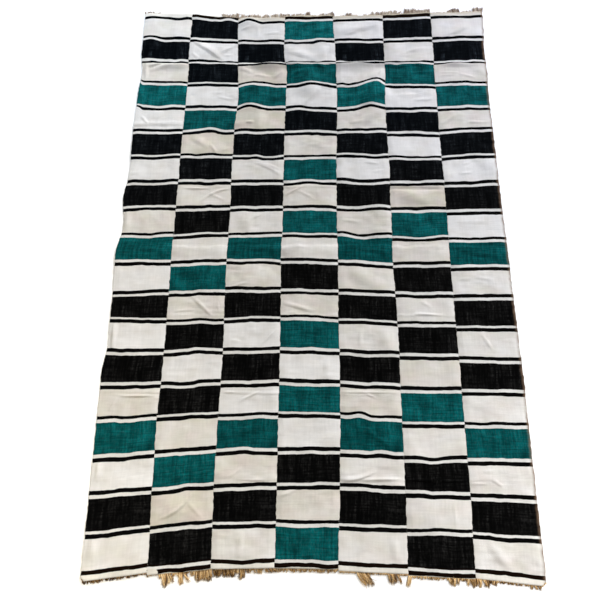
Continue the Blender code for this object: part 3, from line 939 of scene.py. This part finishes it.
class Graph:
    """Adds shader nodes to a new material."""

    def __init__(self, name):
        self.material = bpy.data.materials.new(name)
        self.material.use_nodes = True
        self.tree = self.material.node_tree
        self.shader = self.tree.nodes["Principled BSDF"]

    def new(self, kind, **settings):
        node = self.tree.nodes.new(kind)
        for name, value in settings.items():
            setattr(node, name, value)
        return node

    def feed(self, socket, value):
        if isinstance(value, bpy.types.NodeSocket):
            self.tree.links.new(value, socket)
        else:
            socket.default_value = value

    def math(self, operation, *values):
        node = self.new("ShaderNodeMath", operation=operation)
        for socket, value in zip(node.inputs, values):
            self.feed(socket, value)
        return node.outputs[0]

    def vector(self, x, y, z):
        node = self.new("ShaderNodeCombineXYZ")
        for socket, value in zip(node.inputs, (x, y, z)):
            self.feed(socket, value)
        return node.outputs[0]

    def mix(self, share, first, second):
        node = self.new("ShaderNodeMix", data_type="RGBA")
        self.feed(node.inputs[0], share)
        for socket, colour in zip((node.inputs[6], node.inputs[7]), (first, second)):
            self.feed(socket, colour if isinstance(colour, bpy.types.NodeSocket) else (*colour, 1.0))
        return node.outputs[2]

    def scaled(self, colour, factor):
        node = self.new("ShaderNodeVectorMath", operation="SCALE")
        self.feed(node.inputs[0], colour)
        self.feed(node.inputs["Scale"], factor)
        return node.outputs[0]

    def noise(self, vector, scale=1.0):
        node = self.new("ShaderNodeTexNoise")
        self.feed(node.inputs["Vector"], vector)
        node.inputs["Scale"].default_value = scale
        return node.outputs["Fac"]

    def outside(self, value, low, high):
        """1 where a value lies outside a range."""
        below, above = self.math("LESS_THAN", value, low), self.math("GREATER_THAN", value, high)
        return self.math("MAXIMUM", below, above)

    def spread(self, values, row):
        """The value that a row of Spread names, from its old range to its new one."""
        node = self.new("ShaderNodeMapRange")
        self.feed(node.inputs["Value"], values[row.value])
        for name, number in zip(("From Min", "From Max", "To Min", "To Max"), row[1:]):
            node.inputs[name].default_value = number
        return node.outputs[0]

    def spreads(self, operation, values, rows):
        """Several values, each spread to its own range, added or multiplied."""
        total = self.spread(values, rows[0])
        for row in rows[1:]:
            total = self.math(operation, total, self.spread(values, row))
        return total

    def steps(self, value, stops):
        """A ramp of flat steps: each stop is where a step starts, and its brightness."""
        node = self.new("ShaderNodeValToRGB")
        ramp = node.color_ramp
        ramp.interpolation = "CONSTANT"
        while len(ramp.elements) > 1:
            ramp.elements.remove(ramp.elements[-1])
        for number, (place, brightness) in enumerate(stops):
            element = ramp.elements[0] if number == 0 else ramp.elements.new(place)
            element.position = place
            element.color = (brightness, brightness, brightness, 1.0)
        self.feed(node.inputs[0], value)
        return node.outputs[0]

    def value_of(self, name):
        return self.new("ShaderNodeAttribute", attribute_name=name).outputs["Fac"]

    def surface(self, colour, roughness, reflection):
        self.feed(self.shader.inputs["Base Color"], colour)
        self.shader.inputs["Roughness"].default_value = roughness
        self.shader.inputs["Specular IOR Level"].default_value = reflection

    def relief(self, height, distance):
        node = self.new("ShaderNodeBump")
        node.inputs["Distance"].default_value = distance
        self.feed(node.inputs["Height"], height)
        self.feed(self.shader.inputs["Normal"], node.outputs[0])


def chart_steps(chart, fields, lines):
    """Steps over one repeat of a strip: an edge line, the field and an edge line for each row. The step
    is 1 for the fields and the lines of rows of these kinds, and 0 elsewhere."""
    stops = []
    for row, letter in enumerate(chart[:REPEAT]):
        kind = "G" if letter in GREEN_SHARE else "B" if letter == "B" else "w"
        edge = (BLACK_LINE if kind == "w" else WHITE_LINE) / ROW_PITCH
        field, line = float(kind in fields), float(kind in lines)
        stops += [(row / REPEAT, line), ((row + edge) / REPEAT, field), ((row + 1 - edge) / REPEAT, line)]
    return [stop for number, stop in enumerate(stops) if number == 0 or stop[1] != stops[number - 1][1]]


def cloth_values(graph, strip):
    """Numbers all over a strip, by name: places on it, its textures, ribs and picks, and its mesh's own."""
    split = graph.new("ShaderNodeSeparateXYZ")
    graph.feed(split.inputs[0], graph.new("ShaderNodeUVMap", uv_map="Weave").outputs[0])
    across, along = split.outputs[0], split.outputs[1]
    cloth = {name: graph.value_of(name) for name in ("ecru", "lightness", "selvedge", "bare")}
    cloth["along"] = along
    for texture in TEXTURES:
        x = graph.math("MULTIPLY", across, texture.across)
        y = graph.math("MULTIPLY", along, texture.along)
        cloth[texture.name] = graph.noise(graph.vector(x, y, strip * texture.strip_step))
    rib_turn = graph.math("MULTIPLY", across, math.pi / RIB_PITCH)
    pick_turn = graph.math("MULTIPLY", along, math.pi / PICK_PITCH)
    cloth["rib"] = graph.math("ABSOLUTE", graph.math("SINE", rib_turn))
    cloth["bead"] = graph.math("MULTIPLY", graph.math("SINE", pick_turn), graph.math("COSINE", rib_turn))

    # The weft wanders a little, so no woven edge is ruled
    cloth["wavy"] = graph.math("ADD", along, graph.spread(cloth, WEFT_WAVER))
    return cloth


def row_masks(graph, strip, cloth):
    """Where the strip is black, green or an edge line, and where it is past its rows."""
    chart, wavy = CHARTS[strip], cloth["wavy"]
    repeat = graph.math("FRACT", graph.math("DIVIDE", wavy, REPEAT * ROW_PITCH))
    black = graph.steps(repeat, chart_steps(chart, "B", "w"))
    green = graph.steps(repeat, chart_steps(chart, "G", ""))
    line = graph.steps(repeat, chart_steps(chart, "", "BGw"))

    # Past the last dark line, which the even strips have, the end of the cloth is undyed
    dark = {end: bands[strip - 1] - BARE_EDGE if strip % 2 == 0 else 0.0 for end, bands in END_BANDS.items()}
    undyed_end = graph.outside(wavy, -dark["head"], WOVEN_ROWS + dark["foot"])
    undyed_end = graph.math("MAXIMUM", undyed_end, graph.math("GREATER_THAN", cloth["bare"], BARE_FROM))
    dyed = graph.math("SUBTRACT", 1.0, undyed_end)
    end_band = graph.outside(wavy, 0.0, WOVEN_ROWS)
    green = graph.math("MULTIPLY", green, graph.math("SUBTRACT", 1.0, end_band))
    return {
        "black": graph.math("MULTIPLY", graph.math("MAXIMUM", black, end_band), dyed),
        "green": graph.math("MULTIPLY", green, dyed),
        "line": line,
        "undyed_end": undyed_end,
        "outermost": graph.outside(wavy, 0.0, WOVEN_ROWS - BLACK_LINE - MM),
    }


def undyed_cloth(graph, cloth):
    """Undyed cotton, from bleached to ecru, and tan where it is frayed past its last line."""
    share = graph.math("ADD", cloth["ecru"], graph.spread(cloth, ECRU_VARIATION))
    ecru = graph.mix(graph.spread(cloth, ROSY_SHARE), ECRU_YELLOW, ECRU_ROSY)
    colour = graph.mix(cloth["line"], graph.mix(share, BLEACHED, ecru), LINE_WHITE)
    frayed = graph.math("MULTIPLY", cloth["ecru"], graph.spread(cloth, END_FRAYING))
    colour = graph.mix(cloth["undyed_end"], colour, graph.mix(frayed, END_WHITE, END_TAN))
    return graph.scaled(colour, graph.spreads("MULTIPLY", cloth, UNDYED_SHADE))


def green_cloth(graph, cloth):
    """Green cotton, unevenly textured, with broad blotches that partly stand for painted shade of its soft
    folds.
    """
    colour = graph.mix(graph.spread(cloth, WARP_IN_GREEN), GREEN_YARN, WARP_GREY)
    return graph.scaled(colour, graph.spreads("MULTIPLY", cloth, GREEN_SHADE))


def black_cloth(graph, cloth):
    """Black cotton, browner in the outermost lines, with painted cool light that makes it bluer towards the
    head end.
    """
    shows = graph.spreads("MULTIPLY", cloth, WARP_IN_BLACK)
    shows = graph.math("MULTIPLY", shows, graph.spreads("ADD", cloth, THIN_WEFT))
    # Painted cool light: bluish black towards the head end, neutral towards the foot end
    cool_light_share = graph.spread(cloth, PAINTED_COOL_LIGHT_FADING)
    yarn = graph.mix(cool_light_share, BLACK_IN_PAINTED_COOL_LIGHT, BLACK_YARN)
    colour = graph.mix(shows, yarn, graph.mix(cool_light_share, SHOW_IN_PAINTED_COOL_LIGHT, BLACK_SHOW))
    return graph.mix(cloth["outermost"], colour, END_BLACK)


def woven_material(strip):
    """Weft-faced cotton: the charted rows with their edge lines, ribs over the warp, streaks and slubs."""
    graph = Graph(f"woven_cotton_{strip}")
    cloth = cloth_values(graph, strip)
    cloth.update(row_masks(graph, strip, cloth))
    colour = graph.mix(cloth["green"], undyed_cloth(graph, cloth), green_cloth(graph, cloth))
    colour = graph.mix(cloth["black"], colour, black_cloth(graph, cloth))
    # Painted shadow, with floor colour, as a tan line along the right selvedge of the last strip
    painted_edge_shadow = graph.math("MULTIPLY", cloth["selvedge"], graph.spread(cloth, PAINTED_EDGE_SHADOW_BREAKS))
    graph.surface(graph.mix(painted_edge_shadow, colour, PAINTED_EDGE_SHADOW), *WOVEN_SURFACE)
    graph.relief(graph.spreads("ADD", cloth, RELIEF_SHARES), WEAVE_RELIEF)
    return graph.material


def fringe_material(end):
    """Frayed warp: each thread has its own tone from cream to brown."""
    graph, tones = Graph(f"frayed_warp_{end}"), FRINGE_TONES[end]
    place = graph.new("ShaderNodeTexCoord").outputs["Object"]
    thread = {"tone": graph.value_of("tone"), "fibre": graph.noise(place, FIBRE_CELLS)}
    colour = graph.mix(graph.spread(thread, CREAM_TO_TAN), tones.light, tones.tan)
    colour = graph.mix(graph.spread(thread, TAN_TO_BROWN), colour, tones.brown)
    graph.surface(graph.scaled(colour, graph.spread(thread, FIBRE_SHADE)), *THREAD_SURFACE)
    graph.relief(thread["fibre"], FIBRE_RELIEF)
    return graph.material


def thread_material():
    """The undyed thread of the seams."""
    graph = Graph("seam_thread")
    thread = {"fibre": graph.noise(graph.new("ShaderNodeTexCoord").outputs["Object"], SEAM_FIBRE_CELLS)}
    graph.surface(graph.scaled(SEAM_THREAD, graph.spread(thread, SEAM_FIBRE_SHADE)), *THREAD_SURFACE)
    return graph.material


# Fringe

# Usual length of the fringe on each strip, and the stretches where it differs. A tuft leans to
# the right by an angle in radians, and is browner by its tone.
HEAD_FRINGE_LENGTHS = (0.002, 0.0015, 0.025, 0.018, 0.005, 0.022, 0.008)
FOOT_FRINGE_LENGTHS = (0.006, 0.015, 0.015, 0.011, 0.006, 0.009, 0.006)
Tuft = namedtuple("Tuft", "left_x right_x length lean tone", defaults=(0.0, 0.0))
HEAD_TUFTS = (
    Tuft(-0.697, -0.662, 0.017, 0.0, 0.6),
    Tuft(-0.662, -0.632, 0.012, 0.4, 0.35),
    Tuft(-0.372, -0.330, 0.021, 0.0, 0.1),
    Tuft(-0.330, -0.285, 0.029, 0.0, 0.15),
    Tuft(-0.032, -0.006, 0.026, 0.0, 0.3),
    Tuft(-0.006, 0.030, 0.010),
    Tuft(0.072, 0.090, 0.025, 0.0, 0.2),
    Tuft(0.116, 0.134, 0.014),
    Tuft(0.134, 0.164, 0.022, 0.0, 0.25),
    Tuft(0.164, 0.186, 0.013),
    Tuft(0.190, 0.215, 0.003),
    Tuft(0.215, 0.250, 0.015),
    Tuft(0.250, 0.288, 0.023, 0.0, 0.1),
    Tuft(0.290, 0.357, 0.022, 0.0, -0.1),
    Tuft(0.357, 0.378, 0.006),
    Tuft(0.378, 0.422, 0.027, 0.0, 0.2),
    Tuft(0.462, 0.488, 0.025, 0.0, 0.2),
    Tuft(0.549, 0.580, 0.016, 0.0, 0.1),
    Tuft(0.580, 0.612, 0.022, 0.0, 0.25),
    Tuft(0.636, 0.665, 0.014, 0.4),
    Tuft(0.665, 0.702, 0.024, 0.2, 0.1),
)
FOOT_TUFTS = (
    Tuft(-0.700, -0.640, 0.011, 0.0, 0.35),
    Tuft(-0.640, -0.530, 0.009, 0.0, 0.35),
    Tuft(-0.530, -0.500, 0.006, 0.0, 0.3),
    Tuft(-0.500, -0.465, 0.003),
    Tuft(-0.462, -0.432, 0.034, 0.25),
    Tuft(-0.403, -0.388, 0.034, 0.1),
    Tuft(-0.349, -0.308, 0.030, -0.1),
    Tuft(-0.308, -0.234, 0.022, 0.0, 0.25),
    Tuft(-0.218, -0.200, 0.029, -0.1, 0.2),
    Tuft(0.133, 0.176, 0.040, 0.42, 0.25),
    Tuft(0.232, 0.262, 0.028, 0.4, 0.15),
    Tuft(0.296, 0.306, 0.030, -0.2),
    Tuft(0.414, 0.447, 0.021),
    Tuft(0.470, 0.536, 0.022, 0.1, 0.1),
    Tuft(0.536, 0.565, 0.013, 0.0, 0.1),
    Tuft(0.565, 0.650, 0.007, 0.0, 0.2),
    Tuft(0.660, 0.690, 0.014, 0.0, 0.2),
)
LONG_LOCK = 0.018
ROOT_DEPTH = 0.0015
THREAD_RADIUS = 0.00058
THREAD_STEPS = 6
THREAD_SIDES = 3
TIP_RADIUS = 0.45

# Keeps the length of a thread's step from being zero
SMALLEST = 1e-12

# Locks: how far apart they are, and how they and their threads vary. A lean is an angle.
LOCK_SPACING = 0.0062
LOCK_SHIFT = 0.18
LOCK_HALF_WIDTH = 0.62
LOCK_LEAN = 0.25
LONG_LOCK_LEAN = 0.14
LOCK_TONE = 0.16
LOCK_TONE_SPREAD = 0.16
LOCK_LENGTH_RANGE = (0.85, 1.1)
THREADS_PER_LOCK = 14
THREADS_PER_LONG_LOCK = 24
THREAD_LEAN = 0.10
THREAD_CURL = 0.3
THREAD_TONE_SPREAD = 0.15
THREAD_RADIUS_RANGE = (0.7, 1.2)
LONGEST_THREAD = 1.15

# Ranges of a thread's ripple, its turns and its lift off the floor. It starts inside the cloth, and
# its lock closes up towards the tip.
RIPPLE_RANGE = (0.0001, 0.0006)
TURNS_RANGE = (1.0, 2.5)
LIFT_RANGE = (0.0002, 0.0022)
ROOT_HEIGHT = 0.0011
CLOSING = 0.6
CURL_POWER = 1.5

# Fuzz: short threads between the locks
FUZZ_PER_END = {"head": 170, "foot": 100}
FUZZ_LENGTH = 0.0065
FUZZ_PLACES = (0.005, 0.995)
FUZZ_LENGTH_RANGE = (0.7, 1.3)
FUZZ_LEAN = 0.7
FUZZ_CURL = 1.0
FUZZ_RADIUS_RANGE = (0.6, 0.9)
FUZZ_TONE = 0.35
FUZZ_TONE_SPREAD = 0.25

# The outer threads of a lock are browner, as painted shade in the gaps between locks, and some are broken off
# short
LOCK_EDGE_PAINTED_SHADE = {"head": 0.85, "foot": 1.35}
SHORTEST_THREAD = {"head": 0.45, "foot": 0.7}

# How much the locks bend from their roots to their tips: the short ones are loops at the foot end
LOCK_CURL = {"head": 0.6, "foot": 1.2}
LONG_LOCK_CURL = 0.4


def fringe_at(strip, end, x):
    """The tuft at a place across the blanket, or the strip's usual fringe."""
    for tuft in HEAD_TUFTS if end == "head" else FOOT_TUFTS:
        if tuft.left_x < x < tuft.right_x:
            return tuft
    usual = HEAD_FRINGE_LENGTHS if end == "head" else FOOT_FRINGE_LENGTHS
    return Tuft(x, x, usual[strip - 1])


def thread_path(x, start_down, outward, length, lean, curl, spread, rng):
    """Points of one frayed thread, from inside the woven end to its tip on the floor. It leaves at an
    angle, "lean", and turns by "curl" along its length. Threads of a lock start a "spread" apart."""
    wave, phase = rng.uniform(*RIPPLE_RANGE), rng.uniform(0.0, 2 * math.pi)
    turns, lift = rng.uniform(*TURNS_RANGE), rng.uniform(*LIFT_RANGE)
    step_length = length / (THREAD_STEPS - 1)
    aside, out, path = spread, 0.0, []
    for step in range(THREAD_STEPS):
        share = step / (THREAD_STEPS - 1)
        ripple = wave * math.sin(phase + turns * 2 * math.pi * share) * share
        height = ROOT_HEIGHT * (1 - share) + THREAD_RADIUS + lift * math.sin(math.pi * share)
        down = start_down + outward * (out - ROOT_DEPTH)
        path.append((x + aside - CLOSING * spread * share + ripple, HEAD_DATUM_Y - down, height))
        angle = lean + curl * share**CURL_POWER
        aside += step_length * math.sin(angle)
        out += step_length * math.cos(angle)
    return path


def fringe_threads(strip, end, rng):
    """Paths, thicknesses and tones of the frayed threads at one end of a strip: locks, and short fuzz
    between them."""
    outward = -1.0 if end == "head" else 1.0

    def root(share):
        start_down = float(end_down(strip, end, share))
        left, right = float(seam_x(strip - 1, start_down)), float(seam_x(strip, start_down))
        return left + (right - left) * share, start_down

    lock_count = round(strip_width(strip) / LOCK_SPACING)
    for number in range(lock_count):
        share = (number + 0.5 + rng.uniform(-LOCK_SHIFT, LOCK_SHIFT)) / lock_count
        x, start_down = root(share)
        tuft = fringe_at(strip, end, x)
        is_long = tuft.length > LONG_LOCK
        lean = tuft.lean + rng.gauss(0.0, LONG_LOCK_LEAN if is_long else LOCK_LEAN)
        curl = rng.gauss(0.0, LONG_LOCK_CURL if is_long else LOCK_CURL[end])
        lock_tone = tuft.tone + rng.gauss(LOCK_TONE, LOCK_TONE_SPREAD)
        lock_length = (tuft.length + ROOT_DEPTH) * rng.uniform(*LOCK_LENGTH_RANGE)
        for _ in range(THREADS_PER_LONG_LOCK if is_long else THREADS_PER_LOCK):
            aside = rng.uniform(-LOCK_HALF_WIDTH, LOCK_HALF_WIDTH)
            length = lock_length * rng.uniform(SHORTEST_THREAD[end], LONGEST_THREAD)
            thread_lean = lean + rng.gauss(0.0, THREAD_LEAN)
            thread_curl = curl + rng.gauss(0.0, THREAD_CURL)
            spread = aside * LOCK_SPACING
            path = thread_path(x, start_down, outward, length, thread_lean, thread_curl, spread, rng)
            # Painted shade: a thread is browner the nearer it lies to its lock's edge
            tone = lock_tone + LOCK_EDGE_PAINTED_SHADE[end] * abs(aside) + rng.gauss(0.0, THREAD_TONE_SPREAD)
            yield path, THREAD_RADIUS * rng.uniform(*THREAD_RADIUS_RANGE), tone
    for _ in range(FUZZ_PER_END[end]):
        x, start_down = root(rng.uniform(*FUZZ_PLACES))
        tuft = fringe_at(strip, end, x)
        length = min(FUZZ_LENGTH, tuft.length + ROOT_DEPTH) * rng.uniform(*FUZZ_LENGTH_RANGE)
        lean, curl = rng.gauss(0.0, FUZZ_LEAN), rng.gauss(0.0, FUZZ_CURL)
        path = thread_path(x, start_down, outward, length, lean, curl, 0.0, rng)
        radius = THREAD_RADIUS * rng.uniform(*FUZZ_RADIUS_RANGE)
        yield path, radius, tuft.tone + rng.gauss(FUZZ_TONE, FUZZ_TONE_SPREAD)


def fringe_mesh(strip, end):
    """All the frayed threads of one end of a strip, with their tones."""
    threads = list(fringe_threads(strip, end, random.Random(f"{end} {strip}")))
    mesh = thread_mesh(f"frayed_{end}_{strip}", [(path, radius) for path, radius, _ in threads])
    along = np.repeat(np.linspace(0.0, 1.0, THREAD_STEPS), THREAD_SIDES)
    tones = [tone + FRINGE_TONES[end].tip * along for _, _, tone in threads]
    point_values(mesh, "tone", np.clip(np.concatenate(tones), 0.0, 1.0))
    return mesh


# Seams

STITCH_PITCH = 0.0062
STITCH_REACH = 0.0019
STITCH_SLANT = 0.0030
STITCH_RADIUS = 0.00028
STITCH_STEPS = 5
STITCH_RISE = 0.0004
STITCH_DIP = 0.0008
STITCH_REACH_RANGE = (0.75, 1.2)
STITCH_PITCH_RANGE = (0.85, 1.15)


def seam_mesh(seam):
    """Whip stitches along one seam: short slanting threads over both selvedges."""
    rng = random.Random(f"seam {seam}")
    head = max(float(end_down(seam, "head", 1.0)), float(end_down(seam + 1, "head", 0.0)))
    foot = min(float(end_down(seam, "foot", 1.0)), float(end_down(seam + 1, "foot", 0.0)))
    downs, reaches = [], []
    down = head + STITCH_PITCH
    while down < foot - STITCH_PITCH:
        downs.append(down)
        reaches.append(STITCH_REACH * rng.uniform(*STITCH_REACH_RANGE))
        down += STITCH_PITCH * rng.uniform(*STITCH_PITCH_RANGE)

    # All the stitches at once: a row for each, with a point for each step over the seam
    turn = np.linspace(-1.0, 1.0, STITCH_STEPS)[None, :]
    place = np.array(downs)[:, None] + STITCH_SLANT * turn / 2
    middle = seam_x(seam, place)
    x = middle + np.array(reaches)[:, None] * turn
    top = cloth_height(place * 0.0, middle, place) + CLOTH_THICKNESS - SELVEDGE_THINNING
    paths = np.stack([x, HEAD_DATUM_Y - place, top + STITCH_RISE - STITCH_DIP * turn**4], axis=-1)
    return thread_mesh(f"seam_stitches_{seam}", [(path, STITCH_RADIUS) for path in paths])


# The scene around the blanket

CAMERA_PLACE = (-0.01315, -0.63864, 1.68825)
CAMERA_TILT_DEG = (15.44, 0.836, 0.463)
PHOTO_SIDE_PX = 600
FOCAL_LENGTH_PX = 500
SENSOR_MM = 36.0
FLOOR_SIDE = 9.0
FLOOR_DROP = 0.0006
PANEL_SIDE = 0.9
WORLD_STRENGTH = 0.08
Sun = namedtuple("Sun", "name place strength colour softness_deg")
WINDOW = Sun("window", (2.4, 3.6, 1.75), 4.8, (0.99, 0.985, 0.97), 20.0)
Panel = namedtuple("Panel", "name place watts colour")
PANELS = (
    Panel("head_left", (-1.20, 1.30, 1.10), 14.3, (0.88, 0.99, 1.12)),
    Panel("head_right", (1.20, 1.30, 1.10), 10.7, (0.87, 0.92, 1.21)),
    Panel("middle_left", (-1.25, 0.0, 1.10), 2.8, (1.25, 1.05, 0.75)),
    Panel("middle_right", (1.25, 0.0, 1.10), 4.6, (0.90, 1.0, 1.10)),
    Panel("foot_left", (-1.20, -1.30, 1.10), 13.5, (1.10, 1.03, 0.87)),
    Panel("foot_right", (1.20, -1.30, 1.10), 14.6, (1.04, 1.0, 0.96)),
)


def add_camera():
    """The camera stands at the foot end and looks down on the blanket, as in the photograph."""
    data = bpy.data.cameras.new("camera")
    data.sensor_width = SENSOR_MM
    data.lens = SENSOR_MM * FOCAL_LENGTH_PX / PHOTO_SIDE_PX
    camera = put_in_scene("camera", data, CAMERA_PLACE)
    camera.rotation_euler = [math.radians(angle) for angle in CAMERA_TILT_DEG]
    bpy.context.scene.camera = camera


def add_floor():
    """A plain pale floor just under the cloth."""
    half = FLOOR_SIDE / 2
    corners = np.array([(-half, -half, 0.0), (half, -half, 0.0), (half, half, 0.0), (-half, half, 0.0)])
    mesh = make_mesh("floor", corners, [(0, 1, 2, 3)])
    graph = Graph("pale_floor")
    graph.surface((*FLOOR_COLOUR, 1.0), *FLOOR_SURFACE)
    mesh.materials.append(graph.material)
    put_in_scene("floor", mesh, (0.0, 0.0, -FLOOR_DROP))


def add_light(kind, name, place, energy, colour):
    """A light at a place. It shines straight down until it is turned."""
    data = bpy.data.lights.new(name, kind)
    data.energy = energy
    data.color = colour
    return put_in_scene(name, data, place)


def add_sun(sun):
    """A very large far light, which shines from the direction of a place onto the blanket's middle."""
    light = add_light("SUN", sun.name, sun.place, sun.strength, sun.colour)
    light.data.angle = math.radians(sun.softness_deg)
    light.rotation_euler = (-Vector(sun.place)).to_track_quat("-Z", "Y").to_euler()


def add_lights():
    """Cool light from past the head end, soft square panels over the corners and a white surround."""
    add_sun(WINDOW)
    for panel in PANELS:
        light = add_light("AREA", panel.name, panel.place, panel.watts, panel.colour)
        light.data.size = PANEL_SIDE
    world = bpy.data.worlds.new("surround")
    world.use_nodes = True
    background = world.node_tree.nodes["Background"]
    background.inputs["Color"].default_value = (1.0, 1.0, 1.0, 1.0)
    background.inputs["Strength"].default_value = WORLD_STRENGTH
    bpy.context.scene.world = world
    bpy.context.scene.view_settings.view_transform = "Standard"


def build_blanket():
    """All the pieces of the blanket."""
    frayed = {end: fringe_material(end) for end in FRINGE_TONES}
    for strip in range(1, STRIP_COUNT + 1):
        for end, material in frayed.items():
            mesh = fringe_mesh(strip, end)
            add_piece(mesh, material, [f"fringe_{end}_{strip}"])
        piece = add_piece(strip_mesh(strip), woven_material(strip), [f"strip_{strip}"])
        lengths = [end_down(strip, "foot", share) - end_down(strip, "head", share) for share in (0.0, 1.0)]
    thread = thread_material()
    for seam in range(1, STRIP_COUNT):
        add_piece(seam_mesh(seam), thread, [])


add_camera()
add_floor()
add_lights()
build_blanket()
